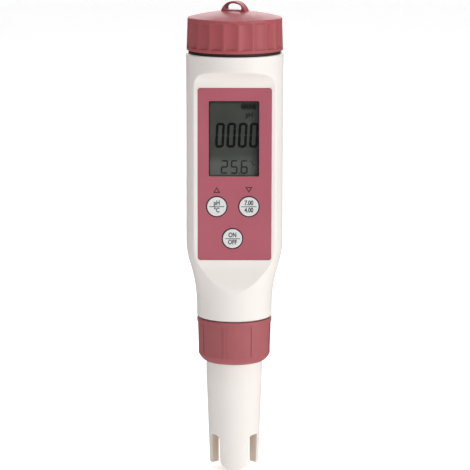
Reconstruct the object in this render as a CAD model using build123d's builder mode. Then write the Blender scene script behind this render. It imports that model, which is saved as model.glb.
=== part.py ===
from build123d import *
from math import acos, asin, atan2, cos, degrees, radians, sin, sqrt, tan
import os

# A pen-shaped pH meter, in millimetres. The pen stands along Z with its front facing -Y.
# The origin lies on the pen's axis, level with the tips of the probe guard.
# The case and barrel radii and the lengths drive the model, and the rest follows by walls and gaps.

# Lengths along the pen, from the guard's tips upwards
sleeve_length = 43.9
collar_height = 17.5
collar_gap = 0.5
barrel_height = 3.9
flare_height = 26.5
case_height = 73.9
seal_thickness = 1.2
cap_height = 12.8
dome_rise = 2.4
loop_rise = 3.8

# Case
case_r = 19.0
barrel_r = 14.85
flare_split = 0.64
case_wall = 2.2
rim_rounding = 0.5
front_edge_round = 0.8

# Necks of the case, which carry the two screwed parts
top_neck_wall = 1.6
low_neck_wall = 1.75
thread_clearance = 0.25
neck_chamfer = 0.4
neck_headroom = 3.3
socket_ledge = 1.95

# Flat front with its cove above and its ramp below
flat_share = 0.537
cove_height = 6.2
cove_drop = 6.2
ramp_angle = 27.0
ramp_drop = 7.9
ramp_step = 0.45
ramp_top_round = 14.0
ramp_low_round = 8.0

# Membrane overlay in its pocket
overlay_side_margin = 1.68
overlay_low_margin = 1.4
overlay_top_gap = 0.3
overlay_thickness = 0.3
overlay_corner = 1.0
pocket_depth = 0.35
pocket_gap = 0.1

# Display
window_side_band = 4.55
window_x = -0.25
window_drop = 5.1
window_corner = 0.5
lens_thickness = 0.8
lens_gap = 0.06
glass_gap = 0.2
glass_thickness = 2.2
panel_setback = 0.1
bezel_side_border = 1.9
bezel_end_border = 3.2
bezel_ledge = 1.3
bezel_floor = 3.45
bezel_screw_inset = 2.2
light_thickness = 1.2
strip_height = 2.0
strip_gap = 0.3

# Keys
keypad_height = 33.0
key_r = 3.75
key_proud = 0.35
key_flange_r = 4.6
key_flange_thickness = 0.6
key_stem_r = 2.2
key_hole_gap = 0.35
key_well_gap = 0.3
key_well_depth = 1.1
key_travel = 0.4
key_rest_gap = 0.05
key_crown = 0.25
key_row_drop = 11.8
power_row_drop = 12.7
hold_key_x = -6.95
mode_key_x = 5.6
power_key_x = -0.8

# Circuit board and what it carries
board_edge_margin = 2.6
board_tail_margin = 3.65
board_tail_height = 20.0
board_end_gap = 0.3
board_thickness = 1.6
rail_width = 1.6
rail_gap = 0.12
rail_lift = 22.0
switch_size = 6.0
switch_corner = 0.5
switch_body_height = 2.9
switch_button_r = 1.7
switch_button_height = 0.6
screw_shank_r = 0.8
screw_head_r = 1.5
screw_head_height = 1.1
screw_reach = 3.0
screw_gap = 0.05
processor_size = 10.0
amplifier_width = 5.0
amplifier_height = 4.0
chip_height = 1.4
chip_corner = 0.3

# Battery compartment
cell_r = 5.8
cell_height = 5.4
cell_count = 4
cell_gap = 0.15
cell_rim = 0.6
cell_step = 0.5
holder_wall = 1.45
holder_flange_inset = 0.4
holder_flange_thickness = 1.2
holder_body_height = 11.5
holder_floor = 1.2
holder_gap = 0.2
pocket_count = 5
pocket_turn = 150.0
spring_height = 2.0
spring_leaf = 0.3
spring_plate_r = 4.6
contact_thickness = 0.4
contact_width = 3.0
contact_margin = 1.05
finger_gap = 0.15
finger_reach = 4.0
lug_drop = 4.0
dimple_r = 2.5

# Ring between the case and the cap
seal_inset = 1.0
seal_neck_gap = 0.15
seal_round = 0.35

# Battery cap
cap_inset = 0.15
cap_taper = 0.4
cap_wall = 1.85
cap_band_height = 1.5
cap_band_round = 0.35
cap_ceiling_drop = 0.8
cap_shoulder_round = 0.6
flute_count = 20
flute_turn = 4.5
flute_depth = 0.6
flute_arch = 0.9
flute_top_gap = 0.7
rib_width = 0.5
loop_half_width = 5.4
loop_thickness = 4.3
loop_root_depth = 2.0
loop_turn = -22.0
loop_edge_round = 0.2
eye_half_width = 3.4
eye_floor_rise = 0.4
eye_top_wall = 0.9
eye_straight = 0.35
eye_corner = 0.6
eye_flare = 0.4

# Locking collar
collar_inset = 0.05
collar_taper = 0.35
collar_wall = 1.85
collar_lip = 0.3
collar_nose_height = 4.6
collar_top_round = 0.5
collar_shelf_height = 6.9
collar_top_band = 1.7
panel_count = 8
panel_turn = -60.0
panel_depth = 0.3
panel_rib = 1.1

# Probe sleeve
flange_ledge = 1.85
flange_thickness = 3.0
flange_gap = 0.3
spigot_gap = 0.2
spigot_wall = 2.6
spigot_drop = 0.9
land_height = 5.6
land_step = 0.3
sleeve_taper = 1.5
sleeve_gap = 0.35
sleeve_ledge_z = 24.0
guard_bore_share = 0.674
prong_share = 0.59
prong_round_share = 0.94
side_prong_lift = 2.3
tip_round = 0.5
slot_turn = 40.0
slot_width = 5.0
slot_height = 14.3
slot_corner = 1.8

# Connector on top of the probe
plug_flange_inset = 0.35
plug_flange_thickness = 1.3
plug_depth = 4.5
pin_count = 6
pin_circle_share = 0.655
pin_r = 0.6
pin_chamfer = 0.2
pin_reach = 3.6
pin_gap = 0.05
contact_wall = 0.5
socket_height = 4.0
probe_seal_thickness = 0.6

# Electrode and sensors in the probe
bulb_share = 0.625
bulb_z = 11.5
bulb_wall = 0.5
stem_share = 0.85
stem_wall = 0.8
stem_length = 32.0
sensor_r = 0.95
sensor_tip_round = 0.75
junction_r = 0.9
junction_reach = 1.0
potting_height = 6.0
potting_step = 3.0
wire_r = 0.25

# Clearance where two pieces seat on each other, and how far a cut runs past what it cuts
seat_gap = 0.05
cut_over = 1.0

# Radii worked out from the case, down to the battery compartment
inner_r = case_r - case_wall
cap_band_r = case_r - cap_inset
cap_crest_r = cap_band_r - cap_taper
top_neck_r = cap_crest_r - cap_wall
top_neck_bore_r = top_neck_r - top_neck_wall
cap_bore_r = top_neck_r + thread_clearance
seal_r = case_r - seal_inset
seal_bore_r = top_neck_r + seal_neck_gap
holder_flange_r = top_neck_r - holder_flange_inset
holder_body_r = top_neck_bore_r - holder_gap
holder_bore_r = cell_r + cell_gap
holder_tube_r = holder_bore_r + holder_wall

# Radii worked out from the barrel, down to the probe
barrel_bore_r = barrel_r - case_wall
collar_top_r = barrel_r - collar_inset
collar_low_r = collar_top_r - collar_taper
low_neck_r = collar_top_r - collar_wall
low_neck_bore_r = low_neck_r - low_neck_wall
collar_bore_r = low_neck_r + thread_clearance
spigot_r = low_neck_bore_r - spigot_gap
sleeve_bore_r = spigot_r - spigot_wall
sleeve_r = low_neck_r - flange_ledge
sleeve_neck_r = sleeve_r - land_step
sleeve_tip_r = sleeve_r - sleeve_taper
lip_bore_r = sleeve_r + sleeve_gap
collar_tip_r = lip_bore_r + collar_lip
guard_bore_r = sleeve_tip_r * guard_bore_share
prong_half_width = sleeve_tip_r * prong_share
prong_corner = prong_half_width * prong_round_share
bulb_r = guard_bore_r * bulb_share
stem_r = bulb_r * stem_share
sensor_circle_r = (guard_bore_r + stem_r) / 2
pin_circle_r = sleeve_bore_r * pin_circle_share

# Heights worked out from the lengths above
collar_z = sleeve_length
collar_top_z = collar_z + collar_height
barrel_z = collar_top_z + collar_gap
flare_z = barrel_z + barrel_height
flare_top_z = flare_z + flare_height
rim_z = flare_top_z + case_height
cap_z = rim_z + seal_thickness
shoulder_z = cap_z + cap_height
apex_z = shoulder_z + dome_rise
loop_top_z = apex_z + loop_rise
ceiling_z = shoulder_z - cap_ceiling_drop
neck_top_z = ceiling_z - neck_headroom
cove_top_z = rim_z - cove_drop
flat_top_z = cove_top_z - cove_height
ramp_z = flare_top_z - ramp_drop
overlay_top_z = flat_top_z - overlay_top_gap
overlay_z = ramp_z + overlay_low_margin
overlay_height = overlay_top_z - overlay_z
window_height = overlay_height - window_drop - keypad_height
window_top_z = overlay_top_z - window_drop
window_z = window_top_z - window_height / 2
key_row_z = window_top_z - window_height - key_row_drop
power_row_z = key_row_z - power_row_drop
holder_top_z = neck_top_z + holder_flange_thickness
stack_top_z = holder_top_z - cell_gap
stack_z = stack_top_z - cell_count * cell_height
spring_z = stack_z - spring_height
holder_z = spring_z - holder_floor
shelf_z = collar_z + collar_shelf_height
flange_z = shelf_z + flange_gap
flange_top_z = flange_z + flange_thickness
neck_end_z = flange_top_z + probe_seal_thickness + 2 * seat_gap
spigot_top_z = barrel_z - spigot_drop
land_z = collar_z - land_height
socket_z = barrel_z + socket_ledge

# Depths worked out from the flat front inwards
flat_y = -case_r * flat_share
pocket_y = flat_y + pocket_depth
overlay_y = pocket_y - overlay_thickness
inner_y = flat_y + case_wall
glass_y = overlay_y + lens_thickness + panel_setback
glass_back_y = glass_y + glass_thickness
bezel_y = inner_y + panel_setback
board_y = glass_back_y + bezel_floor
board_back_y = board_y + board_thickness

# Widths worked out from the flat front and the board's place inside the case
overlay_width = 2 * (sqrt(case_r**2 - flat_y**2) - overlay_side_margin)
window_width = overlay_width - 2 * window_side_band
bezel_width = window_width + 2 * bezel_side_border
bezel_height = window_height + 2 * bezel_end_border
bezel_opening_width = window_width - 2 * bezel_ledge
bezel_opening_height = window_height - 2 * bezel_ledge
board_width = 2 * (inner_r - board_edge_margin)
board_tail_width = 2 * (barrel_bore_r - board_tail_margin)
key_positions = {
    "hold_button": (hold_key_x, key_row_z),
    "mode_button": (mode_key_x, key_row_z),
    "power_button": (power_key_x, power_row_z),
}

os.makedirs("parts", exist_ok=True)


def save(piece, label):
    """Label a finished piece and write it under its own name."""
    piece.part.label = label
    export_step(piece.part, "parts/" + label + ".step")


def on_front(y):
    """Plane facing -Y at depth y, whose own x and y run along the pen's X and Z."""
    return Plane(origin=(0, y, 0), x_dir=(1, 0, 0), z_dir=(0, -1, 0))


def flare_curve(low_r, low_z, high_r, high_z):
    """Two tangent arcs from a narrow radius to a wide one, upright at both ends."""
    low = (low_r, low_z)
    high = (high_r, high_z)
    turn = (low_r + (high_r - low_r) * flare_split, low_z + (high_z - low_z) * flare_split)
    TangentArc(low, turn, tangent=(0, 1))
    TangentArc(high, turn, tangent=(0, -1))


def front_cut(inset):
    """Side view of what the flat front takes off a round body, set back by inset."""
    front = -(case_r + inset + cut_over)
    ramp_tan = tan(radians(ramp_angle))
    shift = inset * tan(radians(ramp_angle) / 2)
    step_y = -(barrel_r + ramp_step)
    step_z = ramp_z - (flat_y - step_y) / ramp_tan
    foot_z = barrel_z - cut_over
    flat_line = flat_y + inset
    step_line = step_y + inset
    cove_reach = case_r + flat_line
    with BuildSketch(Plane.YZ) as profile:
        with BuildLine():
            FilletPolyline(
                (flat_line, flat_top_z),
                (flat_line, ramp_z - shift),
                (step_line, step_z - shift),
                (step_line, foot_z),
                radius=[ramp_top_round, ramp_low_round],
            )
            Polyline(
                (step_line, foot_z),
                (front, foot_z),
                (front, cove_top_z + inset),
                (-case_r, cove_top_z + inset),
            )
            EllipticalCenterArc(
                (-case_r, flat_top_z), cove_reach, cove_height + inset, 0, arc_size=90
            )
        make_face()
    return profile.sketch


def round_corner(profile, corner, radius):
    """Round the corner of a profile that lies nearest to a given point."""
    fillet(profile.vertices().sort_by_distance(corner)[0], radius)


# Case: one moulding with a screw neck at each end and a flat, coved front
outer_cut = front_cut(0)
inner_cut = front_cut(case_wall)

with BuildPart() as cavity:
    with BuildSketch(Plane.XZ):
        with BuildLine():
            Polyline(
                (0, neck_end_z - cut_over),
                (low_neck_bore_r, neck_end_z - cut_over),
                (low_neck_bore_r, socket_z),
                (barrel_bore_r, socket_z),
                (barrel_bore_r, flare_z),
            )
            flare_curve(barrel_bore_r, flare_z, inner_r, flare_top_z)
            Polyline(
                (inner_r, flare_top_z),
                (inner_r, rim_z - case_wall),
                (top_neck_bore_r, rim_z - case_wall + inner_r - top_neck_bore_r),
                (top_neck_bore_r, neck_top_z + cut_over),
                (0, neck_top_z + cut_over),
                (0, neck_end_z - cut_over),
            )
        make_face()
    revolve(axis=Axis.Z)
    extrude(inner_cut, amount=case_r + cut_over, both=True, mode=Mode.SUBTRACT)

rail_z = flare_z + rail_lift
rail_top_z = holder_z - board_end_gap
rail_inner_x = board_width / 2 - rail_width
rail_y = board_y + board_thickness / 2
rail_depth = board_thickness + 2 * rail_width
rail_outer_x = sqrt((inner_r + case_wall / 2) ** 2 - (abs(rail_y) + rail_depth / 2) ** 2)

with BuildPart() as main_housing:
    with BuildSketch(Plane.XZ) as case_profile:
        with BuildLine():
            Polyline(
                (0, neck_end_z),
                (low_neck_r, neck_end_z),
                (low_neck_r, barrel_z),
                (barrel_r, barrel_z),
                (barrel_r, flare_z),
            )
            flare_curve(barrel_r, flare_z, case_r, flare_top_z)
            Polyline(
                (case_r, flare_top_z),
                (case_r, rim_z),
                (top_neck_r, rim_z),
                (top_neck_r, neck_top_z),
                (0, neck_top_z),
                (0, neck_end_z),
            )
        make_face()
        round_corner(case_profile, (case_r, rim_z), rim_rounding)
        round_corner(case_profile, (barrel_r, barrel_z), rim_rounding)
        round_corner(case_profile, (top_neck_r, neck_top_z), neck_chamfer)
        round_corner(case_profile, (low_neck_r, neck_end_z), neck_chamfer)
    revolve(axis=Axis.Z)
    extrude(outer_cut, amount=case_r + cut_over, both=True, mode=Mode.SUBTRACT)
    upright_edges = main_housing.edges().filter_by(Axis.Z)
    fillet(upright_edges.filter_by_position(Axis.Y, flat_y - seat_gap, flat_y + seat_gap), front_edge_round)
    # shallow pocket for the overlay
    with BuildSketch(on_front(pocket_y)):
        with Locations((0, overlay_z + overlay_height / 2)):
            RectangleRounded(
                overlay_width + 2 * pocket_gap,
                overlay_height + 2 * pocket_gap,
                overlay_corner + pocket_gap,
            )
    extrude(amount=pocket_depth + cut_over, mode=Mode.SUBTRACT)
    add(cavity.part, mode=Mode.SUBTRACT)
    # two grooved rails that the circuit board slides down
    with BuildSketch(Plane.XY.offset(rail_z)):
        for side in (-1, 1):
            with Locations((side * (rail_outer_x + rail_inner_x) / 2, rail_y)):
                Rectangle(rail_outer_x - rail_inner_x, rail_depth)
    extrude(amount=rail_top_z - rail_z)
    with BuildSketch(Plane.XY.offset(rail_z)):
        with Locations((0, rail_y)):
            Rectangle(board_width + 2 * rail_gap, board_thickness + 2 * rail_gap)
    extrude(amount=rail_top_z - rail_z, mode=Mode.SUBTRACT)
    # window and key wells in the pocket's floor
    with BuildSketch(on_front(pocket_y)):
        with Locations((window_x, window_z)):
            RectangleRounded(window_width, window_height, window_corner)
    extrude(amount=-case_wall, mode=Mode.SUBTRACT)
    with BuildSketch(on_front(pocket_y)):
        with Locations(*key_positions.values()):
            Circle(key_flange_r + key_well_gap)
    extrude(amount=-key_well_depth, mode=Mode.SUBTRACT)
    with BuildSketch(on_front(pocket_y)):
        with Locations(*key_positions.values()):
            Circle(key_stem_r + key_well_gap)
    extrude(amount=-case_wall, mode=Mode.SUBTRACT)
save(main_housing, "main_housing")

with BuildPart() as front_overlay:
    with BuildSketch(on_front(pocket_y)):
        with Locations((0, overlay_z + overlay_height / 2)):
            RectangleRounded(overlay_width, overlay_height, overlay_corner)
        with Locations((window_x, window_z)):
            RectangleRounded(window_width, window_height, window_corner, mode=Mode.SUBTRACT)
        with Locations(*key_positions.values()):
            Circle(key_r + key_hole_gap, mode=Mode.SUBTRACT)
    extrude(amount=overlay_thickness)
save(front_overlay, "front_overlay")

# Display: a lens and the glass set one behind the other in the window
with BuildPart() as display_window:
    with BuildSketch(on_front(overlay_y)):
        with Locations((window_x, window_z)):
            RectangleRounded(
                window_width - 2 * lens_gap, window_height - 2 * lens_gap, window_corner
            )
    extrude(amount=-lens_thickness)
save(display_window, "display_window")

with BuildPart() as lcd_panel:
    with BuildSketch(on_front(glass_y)):
        with Locations((window_x, window_z)):
            Rectangle(window_width - 2 * glass_gap, window_height - 2 * glass_gap)
    extrude(amount=-glass_thickness)
save(lcd_panel, "lcd_panel")

bezel_screw_x = (bezel_width + bezel_opening_width) / 4
bezel_screw_rise = bezel_height / 2 - bezel_screw_inset
bezel_screws = [
    (window_x + side * bezel_screw_x, window_z + end * bezel_screw_rise)
    for side in (-1, 1)
    for end in (-1, 1)
]
with BuildPart() as lcd_frame:
    with BuildSketch(on_front(bezel_y)):
        with Locations((window_x, window_z)):
            RectangleRounded(bezel_width, bezel_height, window_corner)
    extrude(amount=-(board_y - bezel_y))
    with BuildSketch(on_front(bezel_y)):
        with Locations((window_x, window_z)):
            Rectangle(window_width - glass_gap, window_height - glass_gap)
    extrude(amount=-(glass_back_y - bezel_y), mode=Mode.SUBTRACT)
    with BuildSketch(on_front(glass_back_y)):
        with Locations((window_x, window_z)):
            Rectangle(bezel_opening_width, bezel_opening_height)
    extrude(amount=-(board_y - glass_back_y), mode=Mode.SUBTRACT)
    with BuildSketch(on_front(board_y)):
        with Locations(*bezel_screws):
            Circle(screw_shank_r + screw_gap)
    extrude(amount=screw_reach + 2 * screw_gap, mode=Mode.SUBTRACT)
save(lcd_frame, "lcd_frame")

with BuildPart() as backlight_plate:
    with BuildSketch(on_front(glass_back_y + seat_gap)):
        with Locations((window_x, window_z)):
            RectangleRounded(
                bezel_opening_width - strip_gap,
                bezel_opening_height - 2 * (strip_height + strip_gap),
                window_corner,
            )
    extrude(amount=-light_thickness)
save(backlight_plate, "backlight_plate")

strip_rise = (bezel_opening_height - strip_height) / 2 - strip_gap / 2
with BuildPart() as zebra_strips:
    with BuildSketch(on_front(glass_back_y)):
        with Locations((window_x, window_z + strip_rise), (window_x, window_z - strip_rise)):
            Rectangle(bezel_opening_width - strip_gap, strip_height)
    extrude(amount=-(board_y - glass_back_y))
save(zebra_strips, "zebra_strips")

# Keys: a disc through the overlay, a flange trapped under it and a stem to the switch
flange_y = pocket_y + key_rest_gap
flange_back_y = flange_y + key_flange_thickness
switch_y = board_y - switch_body_height - switch_button_height
for key_name, key_place in key_positions.items():
    with BuildPart() as key:
        with BuildSketch(on_front(flange_y)):
            with Locations(key_place):
                Circle(key_flange_r)
        extrude(amount=-key_flange_thickness)
        with BuildSketch(on_front(flange_y)):
            with Locations(key_place):
                Circle(key_r)
        extrude(amount=flange_y - (overlay_y - key_proud))
        fillet(key.faces().sort_by(Axis.Y)[0].edges(), key_crown)
        with BuildSketch(on_front(flange_back_y)):
            with Locations(key_place):
                Circle(key_stem_r)
        extrude(amount=-(switch_y - key_travel - seat_gap - flange_back_y))
    save(key, key_name)

# Circuit board with its switches, chips and screws
board_top_z = holder_z - board_end_gap
board_tail_z = socket_z + socket_height + seat_gap
with BuildPart() as circuit_board:
    with BuildSketch(on_front(board_y)):
        with BuildLine():
            Polyline(
                (-board_tail_width / 2, board_tail_z),
                (board_tail_width / 2, board_tail_z),
                (board_tail_width / 2, board_tail_z + board_tail_height),
                (board_width / 2, rail_z),
                (board_width / 2, board_top_z),
                (-board_width / 2, board_top_z),
                (-board_width / 2, rail_z),
                (-board_tail_width / 2, board_tail_z + board_tail_height),
                close=True,
            )
        make_face()
        with Locations(*bezel_screws):
            Circle(screw_shank_r + 2 * screw_gap, mode=Mode.SUBTRACT)
    extrude(amount=-board_thickness)
save(circuit_board, "circuit_board")

with BuildPart() as tact_switches:
    with BuildSketch(on_front(board_y)):
        with Locations(*key_positions.values()):
            RectangleRounded(switch_size, switch_size, switch_corner)
    extrude(amount=switch_body_height)
    with BuildSketch(on_front(board_y - switch_body_height)):
        with Locations(*key_positions.values()):
            Circle(switch_button_r)
    extrude(amount=switch_button_height)
save(tact_switches, "tact_switches")

with BuildPart() as board_screws:
    with BuildSketch(on_front(board_back_y)):
        with Locations(*bezel_screws):
            Circle(screw_head_r)
    extrude(amount=-screw_head_height)
    with BuildSketch(on_front(board_back_y)):
        with Locations(*bezel_screws):
            Circle(screw_shank_r)
    extrude(amount=board_thickness + screw_reach)
save(board_screws, "board_screws")

with BuildPart() as board_chips:
    with BuildSketch(on_front(board_back_y)):
        with Locations((0, key_row_z)):
            RectangleRounded(processor_size, processor_size, chip_corner)
        with Locations((0, board_tail_z + board_tail_height / 2)):
            RectangleRounded(amplifier_width, amplifier_height, chip_corner)
    extrude(amount=-chip_height)
save(board_chips, "board_chips")

# Battery compartment: a carrier hung in the top neck, four cells and their contacts
finger_y = holder_tube_r + finger_gap
finger_slot_x = contact_width / 2 + holder_gap

with BuildPart() as battery_holder:
    with BuildSketch(Plane.XZ):
        with BuildLine():
            Polyline(
                (0, holder_z),
                (holder_tube_r, holder_z),
                (holder_tube_r, neck_top_z - holder_body_height),
                (holder_body_r, neck_top_z - holder_body_height),
                (holder_body_r, neck_top_z),
                (holder_flange_r, neck_top_z),
                (holder_flange_r, holder_top_z),
                (holder_bore_r, holder_top_z),
                (holder_bore_r, spring_z),
                (0, spring_z),
                close=True,
            )
        make_face()
    revolve(axis=Axis.Z)
    # weight-saving pockets, open underneath
    with BuildSketch(Plane.XY.offset(neck_top_z - holder_body_height)):
        with PolarLocations(
            (holder_tube_r + holder_body_r) / 2, pocket_count, start_angle=pocket_turn, angular_range=360
        ):
            Circle((holder_body_r - holder_tube_r) / 2 - holder_wall / 2)
    extrude(amount=holder_body_height - holder_wall, mode=Mode.SUBTRACT)
    # slot for the finger that leads the cap's contact down to the board
    with BuildSketch(Plane.XY.offset(holder_z)):
        with Locations((0, finger_y + contact_thickness / 2)):
            Rectangle(2 * finger_slot_x, contact_thickness + 2 * finger_gap)
    extrude(amount=holder_top_z - holder_z, mode=Mode.SUBTRACT)
save(battery_holder, "battery_holder")

with BuildPart() as button_cells:
    for index in range(cell_count):
        with BuildSketch(Plane.XY.offset(stack_z + index * cell_height)):
            Circle(cell_r)
        extrude(amount=cell_height - cell_rim - seat_gap)
        with BuildSketch(Plane.XY.offset(stack_z + (index + 1) * cell_height - cell_rim - seat_gap)):
            Circle(cell_r - cell_step)
        extrude(amount=cell_rim)
save(button_cells, "button_cells")

with BuildPart() as battery_spring:
    with BuildSketch(Plane.XY.offset(spring_z)):
        Circle(spring_plate_r)
    extrude(amount=spring_leaf)
    # sprung tongue that arches up to the lowest cell
    with BuildSketch(Plane.XZ):
        with BuildLine():
            arch = ThreePointArc(
                (-spring_plate_r + spring_leaf, spring_z + spring_leaf),
                (0, stack_z - seat_gap),
                (spring_plate_r - spring_leaf, spring_z + spring_leaf),
            )
            under = ThreePointArc(
                (-spring_plate_r + 2 * spring_leaf, spring_z + spring_leaf),
                (0, stack_z - seat_gap - spring_leaf),
                (spring_plate_r - 2 * spring_leaf, spring_z + spring_leaf),
            )
            Line(arch @ 0, under @ 0)
            Line(arch @ 1, under @ 1)
        make_face()
    extrude(amount=contact_width / 2, both=True)
save(battery_spring, "battery_spring")

# Bent strip from the finger on top of the carrier down to the back of the board
finger_back_y = finger_y + contact_thickness
finger_tip_y = finger_back_y + finger_reach
lug_z = board_top_z - lug_drop
plate_z = ceiling_z - contact_thickness
contact_r = finger_back_y + finger_reach / 2 + contact_margin
with BuildPart() as side_contact:
    with BuildSketch(Plane.YZ):
        with BuildLine():
            Polyline(
                (board_back_y + contact_thickness / 2 + seat_gap, lug_z),
                (finger_y + contact_thickness / 2, lug_z),
                (finger_y + contact_thickness / 2, holder_top_z + contact_thickness),
                (finger_back_y + finger_reach / 2, plate_z - contact_thickness / 2 - seat_gap),
                (finger_tip_y, holder_top_z + contact_thickness),
            )
            offset(amount=contact_thickness / 2, kind=Kind.INTERSECTION)
        make_face()
    extrude(amount=contact_width / 2, both=True)
save(side_contact, "side_contact")

with BuildPart() as cap_contact:
    with BuildSketch(Plane.XZ):
        with BuildLine():
            Polyline(
                (0, stack_top_z + seat_gap),
                (dimple_r, stack_top_z + seat_gap),
                (2 * dimple_r, plate_z),
                (contact_r, plate_z),
                (contact_r, ceiling_z),
                (2 * dimple_r, ceiling_z),
                (dimple_r, stack_top_z + seat_gap + contact_thickness),
                (0, stack_top_z + seat_gap + contact_thickness),
                close=True,
            )
        make_face()
    revolve(axis=Axis.Z)
save(cap_contact, "cap_contact")

# Ring squeezed between the case and the cap
with BuildPart() as cap_seal:
    with BuildSketch(Plane.XZ) as seal_section:
        with Locations(((seal_bore_r + seal_r) / 2, (rim_z + cap_z) / 2)):
            Rectangle(seal_r - seal_bore_r, seal_thickness)
        fillet(seal_section.vertices().group_by(Axis.X)[-1], seal_round)
    revolve(axis=Axis.Z)
save(cap_seal, "cap_seal")

# Battery cap: fluted side, domed top and a loop for a lanyard
dome_chord_r = cap_crest_r - cap_shoulder_round
dome_r = (dome_chord_r**2 + dome_rise**2) / (2 * dome_rise)
flute_pitch = 360 / flute_count
flute_half_angle = radians(flute_pitch / 2) - asin(rib_width / 2 / cap_crest_r)
flute_edge_x = cap_crest_r * cos(flute_half_angle)
flute_edge_y = cap_crest_r * sin(flute_half_angle)
flute_sag = flute_edge_x - (cap_crest_r - flute_depth)
flute_r = (flute_sag**2 + flute_edge_y**2) / (2 * flute_sag)
flute_axis_x = cap_crest_r - flute_depth + flute_r
cap_draft = atan2(cap_taper, cap_height - cap_shoulder_round)
flute_low = cap_band_height - cap_height
flute_high = -flute_top_gap
flute_plane = Plane(
    origin=(flute_axis_x, 0, shoulder_z), x_dir=(cos(cap_draft), 0, sin(cap_draft)), z_dir=(0, -1, 0)
)

with BuildPart() as flute:
    with BuildSketch(flute_plane):
        with BuildLine():
            Polyline((0, flute_low), (flute_r, flute_low), (flute_r, flute_high - flute_arch))
            ThreePointArc(
                (flute_r, flute_high - flute_arch),
                (flute_r - flute_depth / 3, flute_high - flute_arch / 3),
                (flute_r - flute_depth, flute_high),
            )
            Polyline((flute_r - flute_depth, flute_high), (0, flute_high), (0, flute_low))
        make_face()
    revolve(axis=Axis(flute_plane.origin, flute_plane.y_dir))

eye_z = apex_z + eye_floor_rise
eye_top_z = loop_top_z - eye_top_wall
eye_spring_z = eye_z + (eye_top_z - eye_z) * eye_straight
loop_base_z = apex_z - loop_root_depth
front_angle = -90.0

with BuildPart() as loop:
    with BuildSketch(Plane.XZ):
        with BuildLine():
            Line((-loop_half_width, loop_base_z), (loop_half_width, loop_base_z))
            EllipticalCenterArc(
                (0, loop_base_z), loop_half_width, loop_top_z - loop_base_z, 0, arc_size=180
            )
        make_face()
    extrude(amount=loop_thickness / 2, both=True)
    fillet(loop.edges().filter_by(GeomType.ELLIPSE), loop_edge_round)
    with BuildSketch(Plane.XZ) as eye:
        with BuildLine():
            Polyline(
                (eye_half_width, eye_spring_z),
                (eye_half_width, eye_z),
                (-eye_half_width, eye_z),
                (-eye_half_width, eye_spring_z),
            )
            EllipticalCenterArc(
                (0, eye_spring_z), eye_half_width, eye_top_z - eye_spring_z, 0, arc_size=180
            )
        make_face()
        round_corner(eye, (eye_half_width, eye_z), eye_corner)
        round_corner(eye, (-eye_half_width, eye_z), eye_corner)
    extrude(amount=loop_thickness, both=True, mode=Mode.SUBTRACT)
    mouths = [loop.faces().sort_by(Axis.Y)[0], loop.faces().sort_by(Axis.Y)[-1]]
    fillet([edge for mouth in mouths for edge in mouth.inner_wires()[0].edges()], eye_flare)

with BuildPart() as battery_cap:
    with BuildSketch(Plane.XZ) as cap_profile:
        with BuildLine():
            Line((0, cap_z), (cap_band_r, cap_z))
            side = Line((cap_band_r, cap_z), (cap_crest_r, shoulder_z - cap_shoulder_round))
            shoulder = TangentArc(side @ 1, (dome_chord_r, shoulder_z), tangent=side % 1)
            ThreePointArc(
                shoulder @ 1,
                (dome_chord_r / 2, apex_z - dome_r + sqrt(dome_r**2 - (dome_chord_r / 2) ** 2)),
                (0, apex_z),
            )
            Line((0, apex_z), (0, cap_z))
        make_face()
        round_corner(cap_profile, (cap_band_r, cap_z), cap_band_round)
    revolve(axis=Axis.Z)
    add(loop.part, rotation=(0, 0, loop_turn))
    with PolarLocations(0, flute_count, start_angle=front_angle + flute_turn + flute_pitch / 2):
        add(flute.part, mode=Mode.SUBTRACT)
    with BuildSketch(Plane.XY.offset(cap_z)):
        Circle(cap_bore_r)
    extrude(amount=ceiling_z - cap_z, mode=Mode.SUBTRACT)
save(battery_cap, "battery_cap")

# Locking collar: a screw ring whose inner shelf carries the probe's flange
nose_z = collar_z + collar_nose_height
panel_top_z = collar_top_z - collar_top_band

with BuildPart() as panel_ring:
    with BuildSketch(Plane.XZ):
        with BuildLine():
            Polyline(
                (collar_low_r - panel_depth, collar_z),
                (collar_low_r - panel_depth, nose_z),
                (collar_top_r - panel_depth, panel_top_z),
                (collar_top_r + cut_over, panel_top_z),
                (collar_top_r + cut_over, collar_z),
                close=True,
            )
        make_face()
    revolve(axis=Axis.Z)
    with PolarLocations(0, panel_count, start_angle=front_angle + panel_turn):
        Box(
            collar_top_r + cut_over,
            panel_rib,
            collar_top_z,
            align=(Align.MIN, Align.CENTER, Align.MIN),
            mode=Mode.SUBTRACT,
        )

with BuildPart() as locking_collar:
    with BuildSketch(Plane.XZ) as collar_profile:
        with BuildLine():
            Line((lip_bore_r, collar_z), (collar_tip_r, collar_z))
            TangentArc((collar_low_r, nose_z), (collar_tip_r, collar_z), tangent=(0, -1))
            Polyline(
                (collar_low_r, nose_z),
                (collar_top_r, collar_top_z),
                (collar_bore_r, collar_top_z),
                (collar_bore_r, shelf_z),
                (lip_bore_r, shelf_z),
                (lip_bore_r, collar_z),
            )
        make_face()
        round_corner(collar_profile, (collar_top_r, collar_top_z), collar_top_round)
    revolve(axis=Axis.Z)
    add(panel_ring.part, mode=Mode.SUBTRACT)
save(locking_collar, "locking_collar")

# Probe sleeve: tapered guard with four slots, a straight land for the storage cap, a flange and a spigot
slot_across = (-sin(radians(slot_turn)), cos(radians(slot_turn)), 0)
slot_outward = (cos(radians(slot_turn)), sin(radians(slot_turn)), 0)

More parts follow.
